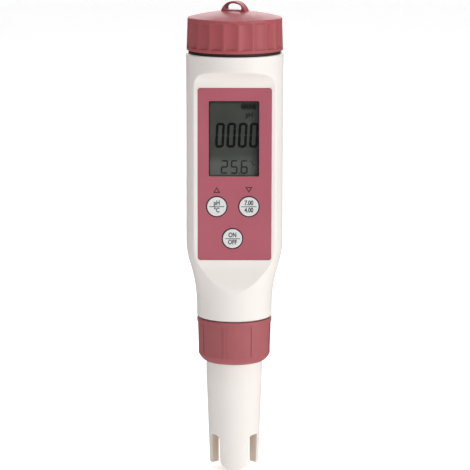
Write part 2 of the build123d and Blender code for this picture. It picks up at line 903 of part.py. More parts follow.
with BuildPart() as guard_slots:
    with BuildSketch(Plane(origin=(0, 0, 0), x_dir=slot_across, z_dir=slot_outward)) as slot:
        with Locations((0, (slot_height - cut_over) / 2)):
            Rectangle(slot_width, slot_height + cut_over)
        fillet(slot.vertices().group_by(Axis.Y)[-1].sort_by(Axis.X)[-1], slot_corner)
    extrude(amount=sleeve_r + cut_over)
    mirror(about=Plane.XZ)
    mirror(about=Plane.YZ)

with BuildPart() as probe_sleeve:
    with BuildSketch(Plane.XZ) as sleeve_profile:
        with BuildLine():
            Polyline(
                (guard_bore_r, 0),
                (sleeve_tip_r, 0),
                (sleeve_r, land_z),
                (sleeve_r, collar_z),
                (sleeve_neck_r, collar_z),
                (sleeve_neck_r, flange_z),
                (low_neck_r, flange_z),
                (low_neck_r, flange_top_z),
                (spigot_r, flange_top_z),
                (spigot_r, spigot_top_z),
                (sleeve_bore_r, spigot_top_z),
                (sleeve_bore_r, sleeve_ledge_z),
                (guard_bore_r, sleeve_ledge_z),
                close=True,
            )
        make_face()
        round_corner(sleeve_profile, (sleeve_tip_r, 0), tip_round)
    revolve(axis=Axis.Z)
    add(guard_slots.part, mode=Mode.SUBTRACT)
    # the two side prongs end square, higher than the front and back ones
    with BuildSketch(Plane.XY.offset(-cut_over)):
        with Locations((sleeve_r, 0), (-sleeve_r, 0)):
            Rectangle(2 * (sleeve_r - prong_half_width), 2 * prong_half_width)
    extrude(amount=side_prong_lift + cut_over, mode=Mode.SUBTRACT)
    # rounded corners of the front and back prongs
    with BuildSketch(Plane.XZ):
        with BuildLine():
            Polyline(
                (prong_half_width, prong_corner),
                (prong_half_width, -cut_over),
                (prong_half_width - prong_corner, -cut_over),
                (prong_half_width - prong_corner, 0),
            )
            RadiusArc(
                (prong_half_width - prong_corner, 0), (prong_half_width, prong_corner), -prong_corner
            )
        make_face()
        mirror(about=Plane.YZ)
    extrude(amount=sleeve_r + cut_over, both=True, mode=Mode.SUBTRACT)
save(probe_sleeve, "probe_sleeve")

with BuildPart() as probe_seal:
    with BuildSketch(Plane.XY.offset(flange_top_z + seat_gap)):
        Circle(low_neck_r - seal_round)
        Circle(spigot_r + seal_neck_gap, mode=Mode.SUBTRACT)
    extrude(amount=probe_seal_thickness)
save(probe_seal, "probe_seal")

# Connector on top of the probe and its socket in the case
pin_top_z = socket_z + pin_reach
with BuildPart() as probe_plug:
    with BuildSketch(Plane.XY.offset(spigot_top_z)):
        Circle(spigot_r - plug_flange_inset)
    extrude(amount=plug_flange_thickness)
    with BuildSketch(Plane.XY.offset(spigot_top_z - plug_depth)):
        Circle(sleeve_bore_r - seat_gap)
    extrude(amount=plug_depth)
    with BuildSketch(Plane.XY.offset(spigot_top_z - plug_depth / 2)):
        with PolarLocations(pin_circle_r, pin_count):
            Circle(pin_r)
    extrude(amount=plug_depth, mode=Mode.SUBTRACT)
save(probe_plug, "probe_plug")

with BuildPart() as plug_pins:
    with BuildSketch(Plane.XY.offset(spigot_top_z - plug_depth / 2)):
        with PolarLocations(pin_circle_r, pin_count):
            Circle(pin_r)
    extrude(amount=pin_top_z - spigot_top_z + plug_depth / 2)
    chamfer(plug_pins.faces().group_by(Axis.Z)[-1].edges(), pin_chamfer)
save(plug_pins, "plug_pins")

with BuildPart() as probe_socket:
    with BuildSketch(Plane.XY.offset(socket_z)):
        Circle(barrel_bore_r - seat_gap)
        with PolarLocations(pin_circle_r, pin_count):
            Circle(pin_r + pin_gap + contact_wall, mode=Mode.SUBTRACT)
    extrude(amount=socket_height)
save(probe_socket, "probe_socket")

with BuildPart() as socket_contacts:
    with BuildSketch(Plane.XY.offset(socket_z)):
        with PolarLocations(pin_circle_r, pin_count):
            Circle(pin_r + pin_gap + contact_wall)
            Circle(pin_r + pin_gap, mode=Mode.SUBTRACT)
    extrude(amount=socket_height)
save(socket_contacts, "socket_contacts")

# Electrode and sensors in the probe
potting_z = sleeve_ledge_z - potting_height
stem_z = bulb_z + sqrt(bulb_r**2 - stem_r**2)
bulb_bore_r = stem_r - stem_wall
with BuildPart() as glass_bulb:
    with BuildSketch(Plane.XZ):
        with BuildLine():
            outer = CenterArc((0, bulb_z), bulb_r, -90, 90 + degrees(acos(stem_r / bulb_r)))
            Line(outer @ 1, (bulb_bore_r, stem_z))
            inner = CenterArc(
                (0, bulb_z),
                bulb_r - bulb_wall,
                -90,
                90 + degrees(acos(bulb_bore_r / (bulb_r - bulb_wall))),
            )
            Line((bulb_bore_r, stem_z), inner @ 1)
            Line(outer @ 0, inner @ 0)
        make_face()
    revolve(axis=Axis.Z)
save(glass_bulb, "glass_bulb")

with BuildPart() as glass_stem:
    with BuildSketch(Plane.XY.offset(stem_z)):
        Circle(stem_r)
        Circle(stem_r - stem_wall, mode=Mode.SUBTRACT)
    extrude(amount=stem_length)
save(glass_stem, "glass_stem")

with BuildPart() as potting_plug:
    with BuildSketch(Plane.XY.offset(potting_z)):
        Circle(guard_bore_r - seat_gap)
    extrude(amount=potting_height)
    with BuildSketch(Plane.XY.offset(sleeve_ledge_z)):
        Circle(sleeve_bore_r - seat_gap)
    extrude(amount=potting_step)
    with BuildSketch(Plane.XY.offset(potting_z)):
        Circle(stem_r + seat_gap)
        with Locations((sensor_circle_r, 0)):
            Circle(sensor_r + seat_gap)
        with Locations((-sensor_circle_r, 0)):
            Circle(junction_r + seat_gap)
    extrude(amount=potting_height + potting_step, mode=Mode.SUBTRACT)
save(potting_plug, "potting_plug")

with BuildPart() as temperature_pin:
    with BuildSketch(Plane.XY.offset(bulb_z)):
        with Locations((sensor_circle_r, 0)):
            Circle(sensor_r)
    extrude(amount=sleeve_ledge_z + potting_step - bulb_z)
    fillet(temperature_pin.faces().sort_by(Axis.Z)[0].edges(), sensor_tip_round)
save(temperature_pin, "temperature_pin")

with BuildPart() as reference_junction:
    with BuildSketch(Plane.XY.offset(potting_z - junction_reach)):
        with Locations((-sensor_circle_r, 0)):
            Circle(junction_r)
    extrude(amount=junction_reach + potting_height + potting_step)
save(reference_junction, "reference_junction")

with BuildPart() as reference_wire:
    with BuildSketch(Plane.XY.offset(potting_z)):
        Circle(wire_r)
    extrude(amount=spigot_top_z - plug_depth - potting_z)
save(reference_wire, "reference_wire")
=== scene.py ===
import bpy
import bmesh
import math
from mathutils import Matrix, Vector


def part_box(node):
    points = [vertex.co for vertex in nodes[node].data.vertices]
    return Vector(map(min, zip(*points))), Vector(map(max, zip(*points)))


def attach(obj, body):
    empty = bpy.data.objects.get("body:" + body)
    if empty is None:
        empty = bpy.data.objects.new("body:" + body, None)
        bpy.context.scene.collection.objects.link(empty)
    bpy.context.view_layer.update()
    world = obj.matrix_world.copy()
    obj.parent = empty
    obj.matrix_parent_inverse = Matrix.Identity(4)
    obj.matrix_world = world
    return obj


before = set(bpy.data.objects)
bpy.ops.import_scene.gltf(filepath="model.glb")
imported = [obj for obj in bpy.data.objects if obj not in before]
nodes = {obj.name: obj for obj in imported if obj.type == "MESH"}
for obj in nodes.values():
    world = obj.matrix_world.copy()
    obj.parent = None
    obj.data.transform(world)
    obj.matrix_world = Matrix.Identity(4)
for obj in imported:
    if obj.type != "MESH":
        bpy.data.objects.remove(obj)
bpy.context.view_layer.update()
mm = 0.001
print("frame loaded,", len(nodes), "nodes")


# camera, 0.98 m away and 10.2 degrees above the middle of the pen

camera = {
    "place": (0.0002, -0.9645, 0.2674),
    "target": (0.0002, 0.0, 0.0939),
    "lens": 189.9,
    "roll": 0.1,  # degrees
}


def makeCamera(look):
    data = bpy.data.cameras.new("camera")
    data.lens = look["lens"]
    data.sensor_width = 36.0
    data.clip_start = 0.05
    data.clip_end = 20.0
    eye = bpy.data.objects.new("camera", data)
    bpy.context.scene.collection.objects.link(eye)
    eye.location = look["place"]
    aim = (Vector(look["target"]) - Vector(look["place"])).to_track_quat("-Z", "Y")
    eye.rotation_euler = (aim.to_matrix() @ Matrix.Rotation(math.radians(look["roll"]), 3, "Z")).to_euler()
    bpy.context.scene.camera = eye


makeCamera(camera)
bpy.context.scene.view_settings.view_transform = "Standard"
print("camera set")


# node helpers for the materials

def newMaterial(name):
    made = bpy.data.materials.new(name)
    made.use_nodes = True
    tree = made.node_tree
    shader = tree.nodes["Principled BSDF"]
    coords = tree.nodes.new("ShaderNodeTexCoord")
    return made, tree, shader, coords.outputs["Object"]


def noiseNode(tree, coords, scale, detail=3.0, roughness=0.5, stretch=(1, 1, 1)):
    mapping = tree.nodes.new("ShaderNodeMapping")
    mapping.inputs["Scale"].default_value = stretch
    noise = tree.nodes.new("ShaderNodeTexNoise")
    noise.inputs["Scale"].default_value = scale
    noise.inputs["Detail"].default_value = detail
    noise.inputs["Roughness"].default_value = roughness
    tree.links.new(coords, mapping.inputs["Vector"])
    tree.links.new(mapping.outputs["Vector"], noise.inputs["Vector"])
    return noise.outputs["Fac"]


def rangeNode(tree, value, low, high, fromLow=0.3, fromHigh=0.7):
    node = tree.nodes.new("ShaderNodeMapRange")
    node.inputs["From Min"].default_value = fromLow
    node.inputs["From Max"].default_value = fromHigh
    node.inputs["To Min"].default_value = low
    node.inputs["To Max"].default_value = high
    tree.links.new(value, node.inputs["Value"])
    return node.outputs["Result"]


def mixNode(tree, factor, first, second):
    node = tree.nodes.new("ShaderNodeMix")
    node.data_type = "RGBA"
    tree.links.new(factor, node.inputs["Factor"])
    for socket, value in ((node.inputs["A"], first), (node.inputs["B"], second)):
        if isinstance(value, bpy.types.NodeSocket):
            tree.links.new(value, socket)
        else:
            socket.default_value = (*value, 1)
    return node.outputs["Result"]


def bumpNode(tree, shader, height, strength, distance, below=None):
    node = tree.nodes.new("ShaderNodeBump")
    node.inputs["Strength"].default_value = strength
    node.inputs["Distance"].default_value = distance
    tree.links.new(height, node.inputs["Height"])
    if below is not None:
        tree.links.new(below, node.inputs["Normal"])
    tree.links.new(node.outputs["Normal"], shader.inputs["Normal"])
    return node.outputs["Normal"]


def shade(colour, factor):
    return tuple(min(1.0, part * factor) for part in colour)


# 1 near the pen's axis and 0 out at the surface of the round wall, the mask for a painted shade on the inner
# faces
def insideShadeNode(tree, coords, look):
    flat = tree.nodes.new("ShaderNodeVectorMath")
    flat.operation = "MULTIPLY"
    flat.inputs[1].default_value = (1, 1, 0)
    away = tree.nodes.new("ShaderNodeVectorMath")
    away.operation = "LENGTH"
    tree.links.new(coords, flat.inputs[0])
    tree.links.new(flat.outputs["Vector"], away.inputs[0])
    return rangeNode(tree, away.outputs["Value"], 1, 0, look["insideShadeFull"], look["insideShadeEnd"])


# one recipe serves all the moulded, rubber and metal finishes
def finish(name, look):
    made, tree, shader, coords = newMaterial(name)
    blotch = noiseNode(tree, coords, look.get("blotchScale", 60), 3)
    light = shade(look["colour"], 1 + look.get("variation", 0.04))
    dark = shade(look["colour"], 1 - look.get("variation", 0.04))
    colour = mixNode(tree, rangeNode(tree, blotch, 0, 1), dark, light)
    # painted shade: faces nearer the axis than the outer wall turn to a darker tan
    if "inside" in look:
        colour = mixNode(tree, insideShadeNode(tree, coords, look), colour, look["inside"])
    tree.links.new(colour, shader.inputs["Base Color"])
    wear = noiseNode(tree, coords, look.get("wearScale", 220), 4, 0.6, look.get("stretch", (1, 1, 1)))
    spread = look.get("spread", 0.05)
    rough = rangeNode(tree, wear, look["roughness"] - spread, look["roughness"] + spread)
    tree.links.new(rough, shader.inputs["Roughness"])
    grain = noiseNode(tree, coords, look.get("grainScale", 2600), 2, 0.5, look.get("stretch", (1, 1, 1)))
    soft = bumpNode(tree, shader, grain, look.get("grain", 0.12), look.get("grainDepth", 0.00004))
    if "wave" in look:
        slow = noiseNode(tree, coords, look["waveScale"], 1)
        bumpNode(tree, shader, slow, look["wave"], 0.0005, soft)
    shader.inputs["Metallic"].default_value = look.get("metallic", 0.0)
    shader.inputs["Specular IOR Level"].default_value = look.get("specular", 0.5)
    shader.inputs["Coat Weight"].default_value = look.get("coat", 0.0)
    shader.inputs["Coat Roughness"].default_value = look.get("coatRoughness", 0.2)
    return made


finishes = {
    "caseWhite": {"colour": (0.80, 0.755, 0.72), "roughness": 0.38, "grain": 0.10, "variation": 0.012,
                  "wave": 0.02, "waveScale": 45, "coat": 0.12, "coatRoughness": 0.25},
    # probeWhite carries a painted shade, a darker tan on the guard's inner and cut faces
    "probeWhite": {"colour": (0.80, 0.755, 0.72), "roughness": 0.42, "grain": 0.14, "variation": 0.012,
                   "wave": 0.02, "waveScale": 60, "inside": (0.72, 0.60, 0.50), "insideShadeFull": 0.0092,
                   "insideShadeEnd": 0.0095},
    "rosePlastic": {"colour": (0.37, 0.078, 0.088), "roughness": 0.42, "grain": 0.22, "variation": 0.05,
                    "grainScale": 3200, "specular": 0.35},
    # the collar's rose is the cap's plastic painted paler, a painted sheen of the floor's reflection
    "roseWithPaintedSheen": {"colour": (0.37, 0.095, 0.105), "roughness": 0.45, "grain": 0.22, "variation": 0.05,
                  "grainScale": 3200, "specular": 0.42},
    "roseFilm": {"colour": (0.40, 0.098, 0.130), "roughness": 0.5, "grain": 0.18, "variation": 0.03,
                 "grainScale": 4200, "specular": 0.3},
    "keyWhite": {"colour": (0.66, 0.67, 0.67), "roughness": 0.4, "grain": 0.1, "variation": 0.015},
    "sealRubber": {"colour": (0.02, 0.02, 0.021), "roughness": 0.6, "grain": 0.3, "variation": 0.2},
    "blackPlastic": {"colour": (0.012, 0.012, 0.013), "roughness": 0.45, "grain": 0.2, "variation": 0.2},
    "milkyPlate": {"colour": (0.75, 0.78, 0.8), "roughness": 0.3, "grain": 0.05, "variation": 0.02},
    "springSteel": {"colour": (0.62, 0.61, 0.59), "roughness": 0.28, "metallic": 1.0, "spread": 0.08,
                    "stretch": (6, 6, 0.6), "grain": 0.15},
    "cellNickel": {"colour": (0.72, 0.71, 0.69), "roughness": 0.2, "metallic": 1.0, "spread": 0.07,
                   "stretch": (1, 1, 8)},
    "goldPlate": {"colour": (0.86, 0.60, 0.25), "roughness": 0.22, "metallic": 1.0, "spread": 0.06},
    "silverWire": {"colour": (0.80, 0.80, 0.78), "roughness": 0.25, "metallic": 1.0, "spread": 0.08},
    "porousCeramic": {"colour": (0.72, 0.69, 0.62), "roughness": 0.8, "grain": 0.6, "grainScale": 5200,
                      "variation": 0.1},
    "pottingResin": {"colour": (0.13, 0.075, 0.04), "roughness": 0.35, "grain": 0.1, "variation": 0.15,
                     "coat": 0.3},
    "legendInk": {"colour": (0.05, 0.045, 0.05), "roughness": 0.6, "grain": 0.1, "variation": 0.15},
    "arrowInk": {"colour": (0.085, 0.012, 0.022), "roughness": 0.55, "grain": 0.1, "variation": 0.1},
    "segmentInk": {"colour": (0.004, 0.0045, 0.004), "roughness": 0.5, "grain": 0.1, "variation": 0.1,
                   "specular": 0.12},
    "thinSegmentInk": {"colour": (0.025, 0.028, 0.024), "roughness": 0.5, "grain": 0.1, "variation": 0.1,
                       "specular": 0.12},
}
materials = {name: finish(name, look) for name, look in finishes.items()}


# green board with faint tracks under the mask
def boardMaterial(look):
    made, tree, shader, coords = newMaterial("boardMask")
    tracks = tree.nodes.new("ShaderNodeTexBrick")
    tracks.inputs["Scale"].default_value = look["trackScale"]
    tracks.inputs["Mortar Size"].default_value = 0.03
    turned = tree.nodes.new("ShaderNodeMapping")
    turned.inputs["Rotation"].default_value = (math.radians(90), 0, 0)
    tree.links.new(coords, turned.inputs["Vector"])
    tree.links.new(turned.outputs["Vector"], tracks.inputs["Vector"])
    copper = mixNode(tree, tracks.outputs["Fac"], look["mask"], look["overCopper"])
    tree.links.new(copper, shader.inputs["Base Color"])
    shader.inputs["Roughness"].default_value = 0.3
    bumpNode(tree, shader, tracks.outputs["Fac"], 0.2, 0.00005)
    return made


# display glass: painted shadow of the window wall along its top, and a painted reflection that darkens it
# along the right and makes it paler below the big figures
def displayMaterial(look):
    made, tree, shader, coords = newMaterial("displayGlass")
    low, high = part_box("lcd_panel")
    apart = tree.nodes.new("ShaderNodeSeparateXYZ")
    tree.links.new(coords, apart.inputs["Vector"])
    # painted reflection: the glass turns paler below this height
    paintedReflectionTop = low.z + look["paintedReflectionTop"]
    rise = rangeNode(tree, apart.outputs["Z"], 0, 1, paintedReflectionTop, paintedReflectionTop - look["paintedReflectionFade"])
    # painted reflection: the glass turns darker towards its right edge
    side = rangeNode(tree, apart.outputs["X"], 0, 1, high.x - look["paintedReflectionSideFade"], high.x)
    # painted shadow of the window wall: the glass turns darker along its top edge
    paintedWallShadow = rangeNode(tree, apart.outputs["Z"], 0, 1, high.z - look["paintedWallShadowFade"], high.z)
    cloud = rangeNode(tree, noiseNode(tree, coords, 120, 2), 0, 0.25)
    base = mixNode(tree, cloud, look["middle"], look["pale"])
    pale = mixNode(tree, rise, base, look["pale"])
    right = mixNode(tree, side, pale, look["dark"])
    tree.links.new(mixNode(tree, paintedWallShadow, right, look["paintedWallShadow"]), shader.inputs["Base Color"])
    shader.inputs["Roughness"].default_value = 0.35
    bumpNode(tree, shader, noiseNode(tree, coords, 3000, 2), 0.05, 0.00002)
    return made


def lensMaterial(look):
    made, tree, shader, coords = newMaterial("clearLens")
    smudge = noiseNode(tree, coords, 90, 4)
    tree.links.new(rangeNode(tree, smudge, look["roughLow"], look["roughHigh"]), shader.inputs["Roughness"])
    shader.inputs["Base Color"].default_value = (*look["colour"], 1)
    shader.inputs["Alpha"].default_value = look["alpha"]
    shader.inputs["IOR"].default_value = 1.49
    return made


def thinGlassMaterial(look):
    made, tree, shader, coords = newMaterial("thinGlass")
    streak = noiseNode(tree, coords, 200, 2, 0.5, (1, 1, 0.2))
    tree.links.new(rangeNode(tree, streak, 0.02, 0.08), shader.inputs["Roughness"])
    shader.inputs["Base Color"].default_value = (*look["colour"], 1)
    shader.inputs["Alpha"].default_value = look["alpha"]
    shader.inputs["IOR"].default_value = 1.47
    return made


materials["boardMask"] = boardMaterial({
    "mask": (0.008, 0.09, 0.03), "overCopper": (0.03, 0.2, 0.07), "trackScale": 260,
})
materials["displayGlass"] = displayMaterial({
    # middle is the glass's own colour; pale and dark are painted reflection, and the top band colour is
    # painted shadow of the window wall
    "middle": (0.050, 0.057, 0.047), "pale": (0.115, 0.128, 0.112),
    "dark": (0.022, 0.021, 0.018), "paintedWallShadow": (0.018, 0.018, 0.016),
    "paintedReflectionTop": 0.0085, "paintedReflectionFade": 0.0035, "paintedReflectionSideFade": 0.0035, "paintedWallShadowFade": 0.0012,
})
materials["clearLens"] = lensMaterial({
    "colour": (0.02, 0.024, 0.02), "alpha": 0.08, "roughLow": 0.03, "roughHigh": 0.09,
})
materials["thinGlass"] = thinGlassMaterial({"colour": (0.85, 0.9, 0.9), "alpha": 0.3})
print("materials made,", len(materials))


# each CAD node takes its finish

nodeFinishes = {
    "main_housing": "caseWhite",
    "front_overlay": "roseFilm",
    "display_window": "clearLens",
    "lcd_panel": "displayGlass",
    "lcd_frame": "blackPlastic",
    "backlight_plate": "milkyPlate",
    "zebra_strips": "sealRubber",
    "circuit_board": "boardMask",
    "tact_switches": "blackPlastic",
    "board_chips": "blackPlastic",
    "board_screws": "springSteel",
    "battery_holder": "blackPlastic",
    "button_cells": "cellNickel",
    "battery_spring": "springSteel",
    "side_contact": "springSteel",
    "probe_socket": "blackPlastic",
    "socket_contacts": "goldPlate",
    "cap_seal": "sealRubber",
    "battery_cap": "rosePlastic",
    "cap_contact": "springSteel",
    "locking_collar": "roseWithPaintedSheen",
    "probe_sleeve": "probeWhite",
    "probe_plug": "blackPlastic",
    "plug_pins": "goldPlate",
    "probe_seal": "sealRubber",
    "glass_bulb": "thinGlass",
    "glass_stem": "thinGlass",
    "reference_wire": "silverWire",
    "reference_junction": "porousCeramic",
    "potting_plug": "pottingResin",
    "temperature_pin": "springSteel",
    "hold_button": "keyWhite",
    "mode_button": "keyWhite",
    "power_button": "keyWhite",
}


def dressNode(name, materialName):
    mesh = nodes[name].data
    mesh.materials.clear()
    mesh.materials.append(materials[materialName])


for nodeName, finishName in nodeFinishes.items():
    dressNode(nodeName, finishName)
print("nodes dressed")


# new pieces are modelled in millimetres and brought to metres at the end

sharpAngle = math.radians(30)


def addPiece(name, bm, materialName, body):
    bmesh.ops.scale(bm, vec=(mm, mm, mm), verts=bm.verts)
    mesh = bpy.data.meshes.new(name)
    bm.to_mesh(mesh)
    bm.free()
    mesh.materials.append(materials[materialName])
    mesh.shade_smooth()
    mesh.set_sharp_from_angle(angle=sharpAngle)
    piece = bpy.data.objects.new(name, mesh)
    bpy.context.scene.collection.objects.link(piece)
    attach(piece, body)


def boxMm(node):
    low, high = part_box(node)
    return low / mm, high / mm


def thicken(bm, faces, depth):
    # gives flat faces that look along -Y a thickness towards -Y
    grown = bmesh.ops.extrude_face_region(bm, geom=faces)
    verts = [item for item in grown["geom"] if isinstance(item, bmesh.types.BMVert)]
    bmesh.ops.translate(bm, vec=(0, -depth, 0), verts=verts)
    bmesh.ops.recalc_face_normals(bm, faces=bm.faces)


def standUp(bm, verts, x, y, z):
    # turns a drawing made on the XY plane to face the front and moves it to its place
    bmesh.ops.rotate(bm, cent=(0, 0, 0), matrix=Matrix.Rotation(math.radians(90), 3, "X"), verts=verts)
    bmesh.ops.translate(bm, vec=(x, y, z), verts=verts)


# display figures, placed from the middle of the glass across and from its lower edge up

glassLow, glassHigh = boxMm("lcd_panel")
glassMiddle = (glassLow.x + glassHigh.x) / 2
display = {
    "lift": 0.03,  # how far the figures stand off the glass
    "slant": 0.05,
    "bigHeight": 9.8, "bigWidth": 3.45, "bigStroke": 1.0, "bigGap": 0.1,
    "bigRise": 15.95, "bigX": (-5.47, -1.08, 3.37, 7.75),
    "thinHeight": 5.45, "thinWidth": 2.75, "thinStroke": 0.6, "thinGap": 0.06,
    "thinRise": 3.5, "thinX": (-3.7, 0.1, 4.0),
    "pointX": 2.1, "pointSize": 0.5, "pointSteps": 16,
}

segmentsOf = {"0": "abcdef", "1": "bc", "2": "abged", "3": "abgcd", "4": "fgbc", "5": "afgcd",
              "6": "afgedc", "7": "abc", "8": "abcdefg", "9": "abcdfg"}


def addSegment(bm, x, z, length, stroke, upright):
    # a six-sided bar with pointed ends
    end, flat, half = length / 2, (length - stroke) / 2, stroke / 2
    points = [(-end, 0), (-flat, -half), (flat, -half), (end, 0), (flat, half), (-flat, half)]
    if upright:
        points = [(-across, along) for along, across in points]
    verts = [bm.verts.new((x + px, z + pz, 0)) for px, pz in points]
    bm.faces.new(verts)
    return verts


def addFigure(bm, figure, x, z, width, height, stroke, gap, slant):
    reach = 0.35  # share of the stroke that a bar's point goes into the corner
    spanX = width - stroke
    spanZ = (height - stroke) / 2
    across = spanX + stroke * reach - gap
    along = spanZ + stroke * reach - gap
    places = {
        "a": (0, spanZ, across, False), "g": (0, 0, across, False), "d": (0, -spanZ, across, False),
        "f": (-spanX / 2, spanZ / 2, along, True), "b": (spanX / 2, spanZ / 2, along, True),
        "e": (-spanX / 2, -spanZ / 2, along, True), "c": (spanX / 2, -spanZ / 2, along, True),
    }
    verts = []
    for letter in segmentsOf[figure]:
        sx, sz, length, upright = places[letter]
        verts += addSegment(bm, sx, sz, length, stroke, upright)
    for vert in verts:
        vert.co.x += slant * vert.co.y
    bmesh.ops.translate(bm, vec=(x, z, 0), verts=verts)


def addRing(bm, outer, inner):
    loops = []
    for points in (outer, inner):
        verts = [bm.verts.new((x, z, 0)) for x, z in points]
        loops += [bm.edges.new((verts[i - 1], verts[i])) for i in range(len(verts))]
    bmesh.ops.bridge_loops(bm, edges=loops)


def rectanglePoints(left, right, low, high):
    return [(left, low), (right, low), (right, high), (left, high)]


def circlePoints(x, z, radius, segments):
    turns = [math.tau * step / segments for step in range(segments)]
    return [(x + radius * math.cos(turn), z + radius * math.sin(turn)) for turn in turns]


def addBar(bm, x, z, width, height):
    made = bmesh.ops.create_grid(bm, x_segments=1, y_segments=1, size=0.5)
    bmesh.ops.scale(bm, vec=(width, height, 1), verts=made["verts"])
    bmesh.ops.translate(bm, vec=(x, z, 0), verts=made["verts"])


def faceFront(bm, y, depth):
    # the whole drawing is turned upright, set at depth y and given its thickness
    bmesh.ops.rotate(bm, cent=(0, 0, 0), matrix=Matrix.Rotation(math.radians(90), 3, "X"), verts=bm.verts)
    bmesh.ops.translate(bm, vec=(0, y, 0), verts=bm.verts)
    thicken(bm, bm.faces[:], depth)


def makeFigures(name, figures, size, materialName, look):
    bm = bmesh.new()
    for figure, x in zip(figures, look[size + "X"]):
        addFigure(bm, figure, glassMiddle + x, glassLow.z + look[size + "Rise"], look[size + "Width"],
                  look[size + "Height"], look[size + "Stroke"], look[size + "Gap"], look["slant"])
    faceFront(bm, glassLow.y, look["lift"])
    addPiece(name, bm, materialName, "case")


makeFigures("mainReading", "0000", "big", "segmentInk", display)
makeFigures("temperatureReading", "256", "thin", "thinSegmentInk", display)


def makePoint(look):
    bm = bmesh.new()
    radius = look["pointSize"] / 2
    made = bmesh.ops.create_circle(bm, cap_ends=True, segments=look["pointSteps"], radius=radius)
    low = glassLow.z + look["thinRise"] - look["thinHeight"] / 2 + radius
    bmesh.ops.translate(bm, vec=(glassMiddle + look["pointX"], low, 0), verts=made["verts"])
    faceFront(bm, glassLow.y, look["lift"])
    addPiece("decimalPoint", bm, "thinSegmentInk", "case")


makePoint(display)


# words and numbers are text turned into mesh, then placed

lettering = {"curveSteps": 4, "weld": 0.0005}


def addText(name, words, size, x, y, z, materialName, body, depth, stretch, weight):
    curve = bpy.data.curves.new(name + "Text", "FONT")
    curve.body = words
    curve.size = size
    curve.align_x = "CENTER"
    curve.align_y = "CENTER"
    curve.extrude = depth / 2
    curve.offset = weight
    curve.resolution_u = lettering["curveSteps"]
    holder = bpy.data.objects.new(name + "Text", curve)
    bpy.context.scene.collection.objects.link(holder)
    bpy.context.view_layer.update()
    shape = bpy.data.meshes.new_from_object(holder.evaluated_get(bpy.context.evaluated_depsgraph_get()))
    bpy.data.objects.remove(holder)
    bm = bmesh.new()
    bm.from_mesh(shape)
    bpy.data.meshes.remove(shape)
    bmesh.ops.remove_doubles(bm, verts=bm.verts, dist=lettering["weld"])
    bmesh.ops.scale(bm, vec=(stretch, 1, 1), verts=bm.verts)
    standUp(bm, bm.verts, x, y - depth / 2, z)
    bmesh.ops.recalc_face_normals(bm, faces=bm.faces)
    addPiece(name, bm, materialName, body)


units = {
    "acidity": {"words": "pH", "size": 3.0, "x": 5.9, "rise": 23.9, "stretch": 0.8, "weight": 0.05,
                "ink": "segmentInk"},
    "degrees": {"words": "°C", "size": 2.6, "x": 7.25, "rise": 5.0, "stretch": 0.85, "weight": 0.02,
                "ink": "thinSegmentInk"},
}
for name, look in units.items():
    addText(name + "Unit", look["words"], look["size"], glassMiddle + look["x"], glassLow.y,
            glassLow.z + look["rise"], look["ink"], "case", display["lift"],
            look["stretch"], look["weight"])

battery = {"x": 5.8, "rise": 27.2, "width": 5.5, "height": 2.2, "wall": 0.32, "bars": 4, "barGap": 0.18,
           "barClear": 0.15, "nose": 0.45, "noseShare": 0.45}


def makeBatterySign(look):
    bm = bmesh.new()
    x, z, wall = glassMiddle + look["x"], glassLow.z + look["rise"], look["wall"]
    halfWidth, halfHeight = look["width"] / 2, look["height"] / 2
    addRing(bm, rectanglePoints(x - halfWidth, x + halfWidth, z - halfHeight, z + halfHeight),
            rectanglePoints(x - halfWidth + wall, x + halfWidth - wall,
                            z - halfHeight + wall, z + halfHeight - wall))
    clear = look["width"] - 2 * wall
    barWidth = (clear - look["barGap"] * (look["bars"] + 1)) / look["bars"]
    for index in range(look["bars"]):
        place = x - clear / 2 + look["barGap"] + barWidth / 2 + index * (barWidth + look["barGap"])
        addBar(bm, place, z, barWidth, look["height"] - 2 * (wall + look["barClear"]))
    addBar(bm, x - halfWidth - look["nose"] / 2, z, look["nose"], look["height"] * look["noseShare"])
    faceFront(bm, glassLow.y, display["lift"])
    addPiece("batterySign", bm, "segmentInk", "case")


makeBatterySign(battery)
print("display drawn")


# thin dark mask printed round the edge on the back of the lens

lensLow, lensHigh = boxMm("display_window")
mask = {"side": 0.3, "low": 0.25, "top": 0.5, "thickness": 0.02}


def makeLensMask(look):
    bm = bmesh.new()
    addRing(bm, rectanglePoints(lensLow.x, lensHigh.x, lensLow.z, lensHigh.z),
            rectanglePoints(lensLow.x + look["side"], lensHigh.x - look["side"],
                            lensLow.z + look["low"], lensHigh.z - look["top"]))
    faceFront(bm, lensHigh.y + look["thickness"], look["thickness"])
    addPiece("lensMask", bm, "blackPlastic", "case")


makeLensMask(mask)


# keys: a thin black ring lies round each one, with a divider line and two short legends on its face

keys = {
    "hold_button": {"body": "hold_key", "upper": "pH", "lower": "°C"},
    "mode_button": {"body": "mode_key", "upper": "7.00", "lower": "4.00"},
    "power_button": {"body": "power_key", "upper": "ON", "lower": "OFF"},
}
keyLook = {"ringInner": 3.79, "ringOuter": 4.2, "ringThickness": 0.03, "ringSteps": 72,
           "lineWidth": 5.9, "lineHeight": 0.28, "inkThickness": 0.02,
           "textSize": 2.55, "textRise": 1.42, "textStretch": 0.78, "textWeight": 0.085}
overlayLow, overlayHigh = boxMm("front_overlay")


def keyMiddle(node):
    low, high = boxMm(node)
    return (low.x + high.x) / 2, low.y, (low.z + high.z) / 2


def makeKeyRing(name, x, z, look):
    bm = bmesh.new()
    addRing(bm, circlePoints(x, z, look["ringOuter"], look["ringSteps"]),
            circlePoints(x, z, look["ringInner"], look["ringSteps"]))
    faceFront(bm, overlayLow.y, look["ringThickness"])
    addPiece(name, bm, "blackPlastic", "case")


def makeKeyLine(name, x, y, z, body, look):
    bm = bmesh.new()
    addBar(bm, x, z, look["lineWidth"], look["lineHeight"])
    faceFront(bm, y, look["inkThickness"])
    addPiece(name, bm, "legendInk", body)


